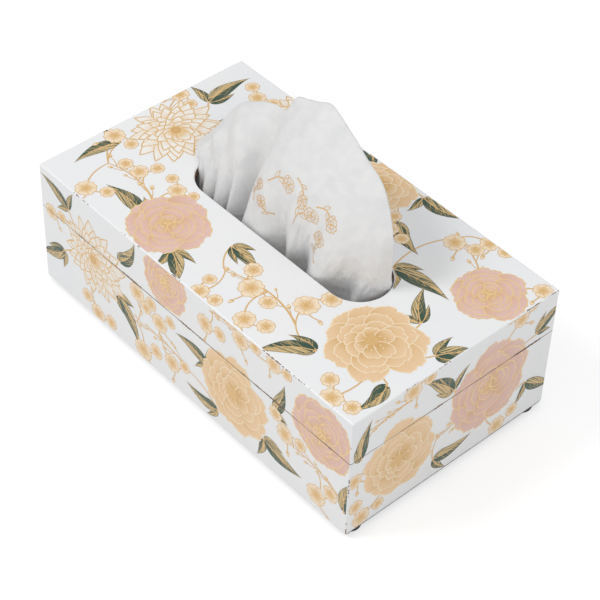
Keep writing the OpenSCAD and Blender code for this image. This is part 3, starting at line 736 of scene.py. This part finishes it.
def print_material(finish):
    """Ink of one finish. The petal's own coordinates run along it and across it."""
    s = Shader(finish)
    own = s.add("UVMap", {}, uv_map="own").outputs[0]
    length, width, _ = s.axes(own)
    tone = s.add("Attribute", {}, attribute_name="tone").outputs["Fac"]
    p = s.place()
    grain = s.noise(p, 1500.0, 2.0)
    drawn_out = {k: s.math("MULTIPLY", value, scale)
                 for k, (value, scale) in enumerate([(length, 1.6), (width, 26.0), (tone, 9.0)])}
    hatching = s.noise(s.add("CombineXYZ", drawn_out).outputs[0], 1.0, 2.0)
    strokes = s.step(hatching, 0.38, 0.62)
    metallic, roughness = 0.0, 0.42
    if finish == "gold_line":
        colour = s.mix(grain, (0.67, 0.40, 0.14, 1.0), (0.82, 0.55, 0.25, 1.0))
        metallic, roughness = 0.2, 0.36
    elif finish == "rose_line":
        colour = s.mix(grain, (0.82, 0.55, 0.20, 1.0), (0.92, 0.70, 0.34, 1.0))
        metallic, roughness = 0.3, 0.32
    elif finish == "gold_fill":
        petal_tone = s.mix(s.step(length, 0.4, 0.95), (0.74, 0.47, 0.20, 1.0), (0.87, 0.62, 0.39, 1.0))
        colour = s.mix(s.math("MULTIPLY", strokes, 0.4), petal_tone, (0.80, 0.55, 0.28, 1.0))
        inner = s.math("SUBTRACT", 1.0, s.step(length, 0.15, 0.7))
        colour = s.mix(inner, colour, (0.66, 0.39, 0.14, 1.0))
        metallic, roughness = 0.12, 0.4
    elif finish == "gold_peach":
        colour = s.mix(s.step(length, 0.15, 0.75), (0.80, 0.54, 0.26, 1.0), (0.91, 0.75, 0.56, 1.0))
    elif finish == "gold_wash":
        shade = s.math("MULTIPLY", s.step(length, 0.3, 0.8), s.step(hatching, 0.25, 0.5))
        colour = s.mix(shade, (0.82, 0.58, 0.31, 1.0), (0.90, 0.87, 0.82, 1.0))
    elif finish == "gold_pale":
        colour = s.mix(grain, (0.90, 0.72, 0.50, 1.0), (0.92, 0.78, 0.58, 1.0))
    elif finish == "rose_fill":
        petal_tone = s.mix(s.step(length, 0.3, 0.85), (0.72, 0.43, 0.24, 1.0), (0.77, 0.50, 0.42, 1.0))
        rim = s.math("MULTIPLY", s.step(length, 0.7, 1.0), strokes)
        colour = s.mix(rim, petal_tone, (0.81, 0.57, 0.51, 1.0))
    elif finish == "green_dark":
        dashes = s.math("MULTIPLY", s.step(hatching, 0.55, 0.62), s.step(length, 0.15, 0.5))
        colour = s.mix(dashes, (0.025, 0.07, 0.045, 1.0), (0.62, 0.44, 0.20, 1.0))
    elif finish == "green_mid":
        colour = s.mix(s.step(hatching, 0.5, 0.57), (0.70, 0.50, 0.24, 1.0), (0.04, 0.085, 0.055, 1.0))
    else:
        colour = s.mix(grain, (0.05, 0.085, 0.05, 1.0), (0.10, 0.11, 0.06, 1.0))
    # Chipped specks, and the painted shade line along the seam, show the dark board through the print.
    colour = s.mix(chips_and_seam_shade(s, p), colour, DARK_BOARD)
    normal = s.bump(grain, 0.08, 0.00005)
    s.surface(Base_Color=colour, Metallic=metallic, Roughness=roughness, Normal=normal)
    return s.material


def plate_piece(name, body, ink, plate, materials):
    """One ink's print on one body, as a flat mesh."""
    mesh = bpy.data.meshes.new(name)
    mesh.from_pydata(plate.points, [], plate.corners)
    uv = mesh.uv_layers.new(name="own")
    uv.data.foreach_set("uv", np.array(plate.own, np.float32).ravel())
    tone = mesh.attributes.new("tone", "FLOAT", "FACE")
    tone.data.foreach_set("value", np.array(plate.tones, np.float32))
    for finish in INKS[ink]:
        mesh.materials.append(materials[finish])
    mesh.polygons.foreach_set("material_index", [INKS[ink].index(f) for f in plate.finishes])
    piece = bpy.data.objects.new(name, mesh)
    bpy.context.scene.collection.objects.link(piece)
    merge_points(mesh)
    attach(piece, body)
    return piece


def merge_points(mesh):
    work = bmesh.new()
    work.from_mesh(mesh)
    bmesh.ops.remove_doubles(work, verts=work.verts, dist=JOIN_WITHIN * MM)
    work.to_mesh(mesh)
    work.free()


def make_print(materials):
    """The print of all faces, wiped clear of the slot, the hinges, the seam and the rounded edges."""
    plates = {(body, ink): Plate() for body in ("base", "lid") for ink in INKS}
    far = 400.0
    for name, a, b, seed, wiped, origin, right, up, body_at in print_faces():
        pile = face_pile(PATTERNS[name], a, b, seed)
        below = EDGE_R if name == "top" else 0
        border = [
            rectangle(-far, -far, -a + EDGE_R, far), rectangle(a - EDGE_R, -far, far, far),
            rectangle(-far, b - EDGE_R, far, far), rectangle(-far, -far, far, -b + below),
        ]
        out = right.cross(up)

        def to_space(p, origin=origin, right=right, up=up, out=out):
            return origin + right * (p[0] * MM) + up * (p[1] * MM) + out * (PRINT_GAP * MM)

        flatten(pile, wiped + border, plates, to_space, body_at)
    for (body, ink), plate in plates.items():
        piece = plate_piece(f"{body}_{ink}_pattern", body, ink, plate, materials)
        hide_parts(f"{body}_print_{ink}")


# The drawn sheet: the same loft as in the frame, finer, with creases. Each line runs from left to right,
# in millimetres about the middle of the slot

GATHERS = np.array([
    (-71, 2), (-67.5, -10), (-61.5, -9.5), (-57, -17), (-52, -9), (-47, -17.5), (-42, -8), (-37, -16.5),
    (-31, -3), (-26, -4), (-24, -17.5), (-14, -18.2), (-5, -17.5), (1, -12), (6, -8), (9, -12),
    (13, -14.5), (16, -11), (21, -7), (27, -13), (32, -18), (38, -17), (44, -10), (52, -5), (59, -8),
    (65, -3), (69, 6),
], float)
SHOULDER = np.array([
    (-70, -1, 0.5), (-71, -5, 5), (-71, -6, 11), (-69, 2, 17), (-65, -2, 24), (-61, 8, 30),
    (-51, 1, 36), (-44, 9, 38), (-36, 15, 38), (-25, 10, 36), (-19, -5, 36), (-13, -14, 39),
    (-5, -17, 42), (2, -18, 44), (9, -18, 43), (15, -18, 42), (21, -18, 41), (27, -18, 39),
    (33, -18, 37), (39, -18, 34), (45, -17, 30), (51, -15.5, 25), (57, -12, 20), (63, -8, 15),
    (67, -4, 10), (70, 2, 5), (71, 8, 1.5),
], float)
FREE_EDGE = np.array([
    (-70, -2, 1.5), (-76, -5, 3), (-82, 2, 5.5), (-83, 11, 7), (-80, 15, 13), (-77, 19, 19),
    (-67, 21, 33), (-55, 24, 40), (-42, 24, 46), (-30, 21, 51), (-27, 26, 59), (-17.5, 25, 64),
    (-7, 24, 69), (2, 24, 73), (11, 23, 70.5), (19.5, 22, 66.5), (26, 20.5, 65), (33, 19, 62),
    (40, 18, 59), (47.5, 17, 56), (54.5, 15, 52), (61, 12.5, 44.5), (66, 10, 38), (69.5, 8, 30),
    (71, 7, 19), (71, 7, 9.5), (71, 8, 3),
], float)
SLOT_DEPTH = 10.0
TAIL_GAP = 0.8
SHEET_THICKNESS = 0.25
SHEET_COLUMNS, TAIL_ROWS, SHEET_ROWS = 401, 16, 80


def along(points, s):
    """The smooth line through points, at the places s from 0 to 1."""
    n = len(points) - 1
    f = np.clip(s, 0, 1 - 1e-9) * n
    i = f.astype(int)
    u = (f - i)[:, None]
    p0, p1, p2, p3 = points[np.maximum(i - 1, 0)], points[i], points[i + 1], points[np.minimum(i + 2, n)]
    return 0.5 * (2 * p1 + (p2 - p0) * u + (2 * p0 - 5 * p1 + 4 * p2 - p3) * u ** 2
                  + (3 * p1 - p0 - 3 * p2 + p3) * u ** 3)


def soft_noise(x, y, seed):
    """Smooth noise from -1 to 1."""
    n = 64
    heights = np.random.default_rng(seed).uniform(-1, 1, (n, n))
    i, j = np.floor(x).astype(int), np.floor(y).astype(int)
    u, w = x - i, y - j
    u, w = u * u * (3 - 2 * u), w * w * (3 - 2 * w)
    low = heights[i % n, j % n] * (1 - u) + heights[(i + 1) % n, j % n] * u
    high = heights[i % n, (j + 1) % n] * (1 - u) + heights[(i + 1) % n, (j + 1) % n] * u
    return low * (1 - w) + high * w


def loft(s, v):
    """Points of the smooth sheet above its gathers, each at a place s along it and v up it."""
    g, shoulder, edge = (along(line, s) for line in (GATHERS, SHOULDER, FREE_EDGE))
    g = np.column_stack([g, np.full_like(s, -SLOT_DEPTH)])
    leave, arrive = ((1 - v) ** 3)[:, None], (v ** 2)[:, None]
    return g * leave + shoulder * (1 - leave - arrive) + edge * arrive


def lift(s, v):
    """The sheet's direction outwards, at places (s, v)."""
    d = 0.004
    right = loft(np.minimum(s + d, 1), v) - loft(np.maximum(s - d, 0), v)
    up = loft(s, np.minimum(v + d, 1)) - loft(s, np.maximum(v - d, 0))
    out = np.cross(right, up)
    return out / np.linalg.norm(out, axis=1, keepdims=True)


def creases(s, v):
    """How far creases lift the sheet: sharp and upright by the slot, broad and soft above."""
    rise = np.clip((v - 0.06) / 0.2, 0, 1)
    low = np.exp(-np.maximum(v - 0.2, 0) / 0.16)
    sharp = 0.5 - np.abs(soft_noise(34 * s + 1.5 * v, 2.5 * v, 3)) + 0.4 * soft_noise(95 * s, 9 * v, 4)
    broad = soft_noise(9 * s + 3 * v, 3.5 * v, 5) + 0.35 * soft_noise(24 * s - 6 * v, 9 * v, 6)
    return rise * (1.5 * low * sharp + 0.6 * broad)


def sheet_surface(s, v):
    """Points of the creased sheet."""
    return loft(s, v) + lift(s, v) * creases(s, v)[:, None]


def sheet_points():
    """Rows of points of the drawn sheet, in millimetres about the box's middle and the lid's top."""
    s = np.linspace(0, 1, SHEET_COLUMNS)
    tail = -(top_z - stack_top) / MM + TAIL_GAP
    gathers = along(GATHERS, s)
    rows = [
        np.column_stack([gathers, np.full_like(s, tail + (-SLOT_DEPTH - tail) * v)])
        for v in np.linspace(0, 1, TAIL_ROWS, endpoint=False)
    ]
    rows += [sheet_surface(s, np.full_like(s, v)) for v in np.linspace(0, 1, SHEET_ROWS)]
    return np.array(rows)


def tissue_material(name, see_through):
    """Soft paper, crumpled near the slot. see_through is the share of light that it lets pass."""
    s = Shader(name)
    p = s.place()
    crepe = s.noise(s.stretch(p, (1.0, 1.0, 0.35)), 1600.0, 3.0, 0.6)
    soft = s.noise(p, 160.0, 3.0)
    _, _, z = s.axes(p)
    crumpled = s.math("SUBTRACT", 1.0, s.step(z, top_z + 2 * MM, top_z + 30 * MM))
    folds = s.noise(s.stretch(p, (1.0, 1.0, 0.55)), 210.0, 4.0, 0.6)
    off_fold = s.math("ABSOLUTE", s.math("SUBTRACT", folds, 0.5))
    ridges = s.math("SUBTRACT", 1.0, s.math("MULTIPLY", off_fold, 6.0))
    amount = s.math("ADD", s.math("MULTIPLY", crumpled, 1.1), 0.16)
    fine = s.math("ADD", s.math("MULTIPLY", crepe, 0.35), soft)
    height = s.math("ADD", fine, s.math("MULTIPLY", ridges, amount))
    normal = s.bump(height, 0.4, 0.0005)
    colour = s.mix(s.step(soft, 0.3, 0.7), (0.88, 0.88, 0.885, 1.0), (0.92, 0.92, 0.915, 1.0))
    body = s.add("BsdfPrincipled", {
        "Base Color": colour, "Roughness": 0.9, "Specular IOR Level": 0.15, "Normal": normal,
        "Sheen Weight": 0.15,
    }).outputs[0]
    glow = s.add("BsdfTranslucent", {"Color": colour, "Normal": normal}).outputs[0]
    s.output(s.add("MixShader", {0: see_through, 1: body, 2: glow}).outputs[0])
    return s.material


def grid_mesh(name, rows):
    m, n, _ = rows.shape
    index = np.arange(m * n).reshape(m, n)
    quads = np.stack([index[:-1, :-1], index[:-1, 1:], index[1:, 1:], index[1:, :-1]], -1)
    mesh = bpy.data.meshes.new(name)
    mesh.from_pydata(rows.reshape(-1, 3).tolist(), [], quads.reshape(-1, 4).tolist())
    mesh.polygons.foreach_set("use_smooth", [True] * len(mesh.polygons))
    piece = bpy.data.objects.new(name, mesh)
    bpy.context.scene.collection.objects.link(piece)
    return piece


def make_drawn_sheet():
    rows = sheet_points() * MM + np.array([mid_x, mid_y, top_z])
    piece = grid_mesh("drawn_sheet", rows)
    piece.data.materials.append(tissue_material("drawn_tissue", 0.35))
    skin = piece.modifiers.new("thickness", "SOLIDIFY")
    skin.thickness = SHEET_THICKNESS * MM
    skin.offset = 0
    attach(piece, "lid")
    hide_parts("pulled_tissue")


# Small gold sprigs on the sheet: place along it and up it, size in millimetres and turn in degrees
SPRIGS = [
    (0.42, 0.27, 12, 75), (0.49, 0.4, 14, 10), (0.575, 0.46, 12, -40), (0.635, 0.32, 15, 55),
    (0.7, 0.48, 13, 0), (0.745, 0.24, 14, 110), (0.47, 0.22, 11, 150),
]
SPRIG_GAP = 0.25


def sprig(pile, size, turn, rng):
    """A small branch in line work, with a flower, leaves and a bud."""
    line = [(size * (i / 8 - 0.5), 0.22 * size * math.sin(3 * (i / 8))) for i in range(9)]
    stem = moved(line, (0, 0), turn)
    pile.put(stroke(stem, 0.7, 0.45), "gold_line")
    for at, side, share in [(2, 1, 0.42), (4, -1, 0.36), (6, 1, 0.3)]:
        petal(pile, stem[at], turn + side * 0.9, size * share, size * 0.17, POINTED,
              None, "gold_line", 0.34, 0, rng)
    reach = size * 0.34
    ring(pile, stem[-1], 6, turn, reach, reach * 0.9, HEART,
         None, "gold_line", 0.36, 1, rng, 0.1, 0.2)
    ring(pile, stem[-1], 4, turn, reach * 0.55, reach * 0.6, HEART,
         None, "gold_line", 0.32, 0, rng, 0.1, 0.2)
    pile.put(disc(stem[-1], 0.4, 8), "gold_line")
    pile.put(disc(stem[0], 0.55, 8), "gold_line")


def make_sprigs(materials):
    """Sprigs printed on the drawn sheet, bent with it."""
    plate = Plate()
    rng = random.Random(5)
    place = np.array([mid_x, mid_y, top_z])
    for s0, v0, size, turn in SPRIGS:
        pile = Pile()
        sprig(pile, size, math.radians(turn), rng)
        d = 0.002
        middle, right, up = loft(np.array([s0, s0 + d, s0]), np.array([v0, v0, v0 + d]))
        per_s, per_v = np.linalg.norm(right - middle) / d, np.linalg.norm(up - middle) / d
        first = len(plate.points)
        flatten(pile, [], {("lid", "gold"): plate}, tuple, lambda p: "lid")
        x, y = np.array(plate.points[first:]).T
        s, v = s0 + x / per_s, v0 + y / per_v
        plate.points[first:] = ((sheet_surface(s, v) + lift(s, v) * SPRIG_GAP) * MM + place).tolist()
    plate_piece("sheet_sprigs", "lid", "gold", plate, materials)


STACK_LAYERS = 42


def make_stack():
    """The stack of folded sheets: slabs with round folds at the long sides, none quite in line."""
    low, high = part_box("tissue_stack")
    rng = np.random.default_rng(7)
    pitch = (high.z - low.z) / STACK_LAYERS
    r = pitch / 2
    turn = np.linspace(-math.pi / 2, math.pi / 2, 7)
    inner = np.linspace(1, -1, 9)[1:-1]
    stations = np.linspace(-1, 1, 33)
    points, faces = [], []
    for k in range(STACK_LAYERS):
        a = (high.x - low.x) / 2 - rng.uniform(0, 0.8) * MM
        b = (high.y - low.y) / 2 - r - rng.uniform(0, 1.2) * MM
        shift = rng.uniform(-0.4, 0.4, 2) * MM
        section = [(b + r * math.cos(t), r * math.sin(t)) for t in turn] + [(b * u, r) for u in inner]
        section += [(-y, -z) for y, z in section]
        first, n = len(points), len(section)
        phase = rng.uniform(0, 2 * math.pi, 2)
        for x in stations:
            sway = 0.25 * MM * math.sin(5 * x + phase[0]) + 0.12 * MM * math.sin(17 * x + phase[1])
            points += [(mid_x + a * x + shift[0], mid_y + y + math.copysign(sway, y) + shift[1],
                        low.z + (k + 0.5) * pitch + z) for y, z in section]
        for i in range(len(stations) - 1):
            here, there = first + i * n, first + (i + 1) * n
            for j in range(n):
                faces.append((here + j, here + (j + 1) % n, there + (j + 1) % n, there + j))
        faces.append(tuple(range(first, first + n))[::-1])
        faces.append(tuple(range(there, there + n)))
    mesh = bpy.data.meshes.new("folded_stack")
    mesh.from_pydata(points, [], faces)
    mesh.materials.append(tissue_material("stacked_tissue", 0.0))
    piece = bpy.data.objects.new("folded_stack", mesh)
    bpy.context.scene.collection.objects.link(piece)
    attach(piece, "base")
    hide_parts("tissue_stack")


# Floor, light and camera

FLOOR_REACH = 6.0
FLOOR_GREY, FLOOR_GLOW = 0.62, 0.52
SKY_LIGHT = 0.62
KEY_WATTS, FILL_WATTS = 19, 9


def make_floor():
    s = Shader("pale_floor")
    rays = s.add("LightPath", {}).outputs
    seen = s.math("MAXIMUM", s.math("MAXIMUM", rays["Is Camera Ray"], rays["Is Glossy Ray"]),
                  rays["Is Transmission Ray"])
    lit = s.add("BsdfDiffuse", {"Color": grey(FLOOR_GREY)})
    glow = s.add("Emission", {"Color": grey(1.0), "Strength": s.math("MULTIPLY", seen, FLOOR_GLOW)})
    s.output(s.add("AddShader", {0: lit.outputs[0], 1: glow.outputs[0]}).outputs[0])
    mesh = bpy.data.meshes.new("floor")
    corners = rectangle(-FLOOR_REACH, -FLOOR_REACH, FLOOR_REACH, FLOOR_REACH)
    mesh.from_pydata([(x, y, 0) for x, y in corners], [], [(0, 1, 2, 3)])
    mesh.materials.append(s.material)
    floor = bpy.data.objects.new("floor", mesh)
    bpy.context.scene.collection.objects.link(floor)
    floor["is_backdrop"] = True


def area_lamp(name, place, size, watts):
    """A round lamp that points at the middle of the box."""
    lamp = bpy.data.lights.new(name, "AREA")
    lamp.energy = watts
    lamp.shape = "DISK"
    lamp.size = size
    made = bpy.data.objects.new(name, lamp)
    made.location = place
    aim = Vector((mid_x, mid_y, seam_z)) - Vector(place)
    made.rotation_euler = aim.to_track_quat("-Z", "Y").to_euler()
    bpy.context.scene.collection.objects.link(made)


def make_light():
    """A soft sky that is seen as plain white, and two lamps."""
    world = bpy.data.worlds.new("studio")
    world.use_nodes = True
    tree = world.node_tree
    tree.nodes.clear()
    rays = tree.nodes.new("ShaderNodeLightPath")
    shown = tree.nodes.new("ShaderNodeMath")
    shown.operation = "MAXIMUM"
    tree.links.new(rays.outputs["Is Camera Ray"], shown.inputs[0])
    tree.links.new(rays.outputs["Is Glossy Ray"], shown.inputs[1])
    both = tree.nodes.new("ShaderNodeMath")
    both.operation = "MAXIMUM"
    tree.links.new(shown.outputs[0], both.inputs[0])
    tree.links.new(rays.outputs["Is Transmission Ray"], both.inputs[1])
    soft, white = tree.nodes.new("ShaderNodeBackground"), tree.nodes.new("ShaderNodeBackground")
    soft.inputs[0].default_value = (0.98, 0.99, 1.0, 1.0)
    soft.inputs[1].default_value = SKY_LIGHT
    white.inputs[1].default_value = 1.0
    choice = tree.nodes.new("ShaderNodeMixShader")
    tree.links.new(both.outputs[0], choice.inputs[0])
    tree.links.new(soft.outputs[0], choice.inputs[1])
    tree.links.new(white.outputs[0], choice.inputs[2])
    out = tree.nodes.new("ShaderNodeOutputWorld")
    tree.links.new(choice.outputs[0], out.inputs[0])
    bpy.context.scene.world = world
    area_lamp("key", (-0.9, -1.3, 1.9), 0.9, KEY_WATTS)
    area_lamp("fill", (1.6, -0.7, 1.2), 1.4, FILL_WATTS)


def make_camera():
    a, e, roll = (math.radians(x) for x in (CAMERA_AZIMUTH, CAMERA_ELEVATION, CAMERA_ROLL))
    back = Vector((math.sin(a) * math.cos(e), -math.cos(a) * math.cos(e), math.sin(e)))
    right = Vector((math.cos(a), math.sin(a), 0))
    up = back.cross(right)
    turned_right = right * math.cos(roll) + up * math.sin(roll)
    turned_up = up * math.cos(roll) - right * math.sin(roll)
    turn = Matrix((turned_right, turned_up, back)).transposed()
    camera = bpy.data.objects.new("camera", bpy.data.cameras.new("camera"))
    camera.data.lens = CAMERA_LENS
    camera.data.sensor_width = 36
    place = Vector((mid_x, mid_y, wood_z)) + CAMERA_PLACE
    camera.matrix_world = Matrix.Translation(place) @ turn.to_4x4()
    bpy.context.scene.collection.objects.link(camera)
    bpy.context.scene.camera = camera


make_camera()
make_light()
make_floor()
finish_nodes()
inks = {finish: print_material(finish) for finish in INK_OF}
make_print(inks)
make_drawn_sheet()
make_sprigs(inks)
make_stack()
bpy.context.scene.view_settings.view_transform = "Standard"

bounds = {"cad": cad_bounds, "visual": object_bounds()}
{name: [list(corner) for corner in pair] for name, pair in bounds.items()}
